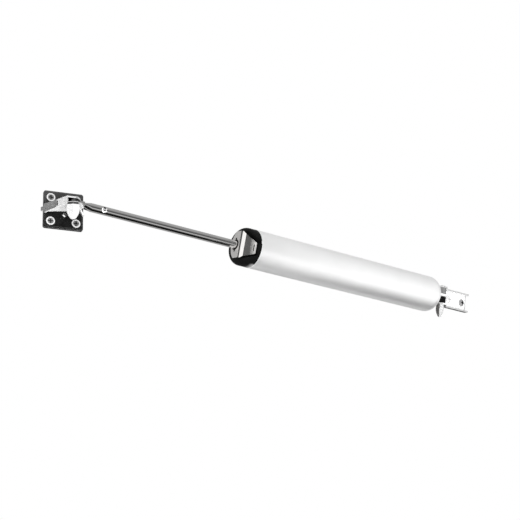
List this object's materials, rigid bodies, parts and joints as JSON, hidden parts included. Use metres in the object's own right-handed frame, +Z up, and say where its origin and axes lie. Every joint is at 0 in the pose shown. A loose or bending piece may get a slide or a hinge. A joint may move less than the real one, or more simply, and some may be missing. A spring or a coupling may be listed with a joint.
{
  "type": "pneumatic door closer",
  "caption": "Door closer: an air-damped spring cylinder with a sliding rod, a tap-to-hold plate, and pinned jamb and door brackets.",
  "frame": {"origin": "middle of the jamb plate's back face, where it meets the door jamb", "axes": "+X along the rod from the jamb pin to the tube's tail, +Z up the jamb pin, -Y the side the plate faces"},
  "size_m": [0.5192, 0.0545, 0.042],
  "materials": {
    "tube_enamel": "smooth silver-white enamel",
    "black_plastic": "moulded black plastic",
    "grey_plastic": "moulded dark grey plastic",
    "rod_steel": "drawn and polished",
    "inner_steel": "plain zinc",
    "hold_nickel": "bright nickel",
    "bracket_paint": "gloss black enamel",
    "bright_zinc": "bright zinc",
    "door_paint": "smooth white enamel",
    "dark_screws": "black oxide",
    "cast_aluminium": "turned",
    "seal_rubber": "plain",
    "bush_brass": "sintered"
  },
  "bodies": {
    "jamb_bracket": {"jamb_plate": "bracket_paint", "jamb_yoke": "bright_zinc", "jamb_screw_1": "bright_zinc", "jamb_screw_2": "bright_zinc", "jamb_screw_3": "bright_zinc", "jamb_screw_4": "bright_zinc"},
    "jamb_pin": {"jamb_pin": "bright_zinc"},
    "rod": {"rod": "rod_steel", "cross_pin": "rod_steel", "rod_nut": "inner_steel", "rod_washer": "inner_steel"},
    "piston": {"piston": "cast_aluminium", "piston_cup": "seal_rubber", "cup_spreader": "inner_steel"},
    "tube": {"tube": "tube_enamel", "front_cap": "black_plastic", "cap_seal": "seal_rubber", "rod_bush": "bush_brass", "spring_seat": "inner_steel", "return_spring": "inner_steel", "tail_plug": "cast_aluminium", "tail_seal": "seal_rubber", "tail_tang": "bright_zinc", "tang_rivet": "inner_steel"},
    "adjusting_screw": {"adjusting_screw": "inner_steel"},
    "hold_plate": {"hold_plate": "hold_nickel"},
    "door_bracket": {"door_bracket": "door_paint", "door_bush_upper": "grey_plastic", "door_bush_lower": "black_plastic", "door_screw_1": "dark_screws", "door_screw_2": "dark_screws"},
    "door_pin": {"door_pin": "bright_zinc"}
  },
  "joints": [
    {"name": "jamb_pivot", "type": "hinge", "parent": "jamb_bracket", "child": "rod", "pos_m": [-0.00078, -0.02065, 0], "axis": [0, 0, 1], "range_deg": [-105, 24]},
    {"name": "jamb_pin_pull", "type": "slide", "parent": "jamb_bracket", "child": "jamb_pin", "axis": [0, 0, -1], "range_m": [0, 0.012]},
    {"name": "rod_turn", "type": "hinge", "parent": "rod", "child": "piston", "pos_m": [-0.00078, -0.02065, 0], "axis": [1, 0, 0], "continuous": true},
    {"name": "tube_slide", "type": "slide", "parent": "piston", "child": "tube", "axis": [-1, 0, 0], "range_m": [-0.012, 0.136], "deforming": ["return_spring"]},
    {"name": "hold_tilt", "type": "hinge", "parent": "tube", "child": "hold_plate", "pos_m": [0.17676, -0.01745, -0.01285], "axis": [0, -0.9703, -0.2419], "range_deg": [0, 9]},
    {"name": "valve_turn", "type": "hinge", "parent": "tube", "child": "adjusting_screw", "pos_m": [0.44262, -0.01881, -0.00737], "axis": [1, 0, 0], "range_deg": [-360, 360]},
    {"name": "door_pivot", "type": "hinge", "parent": "tube", "child": "door_bracket", "pos_m": [0.45462, -0.02116, 0.00204], "axis": [0, -0.2419, 0.9703], "range_deg": [-100, 90]},
    {"name": "door_pin_pull", "type": "slide", "parent": "door_bracket", "child": "door_pin", "axis": [0, 0.2419, -0.9703], "range_m": [0, 0.024]}
  ]
}
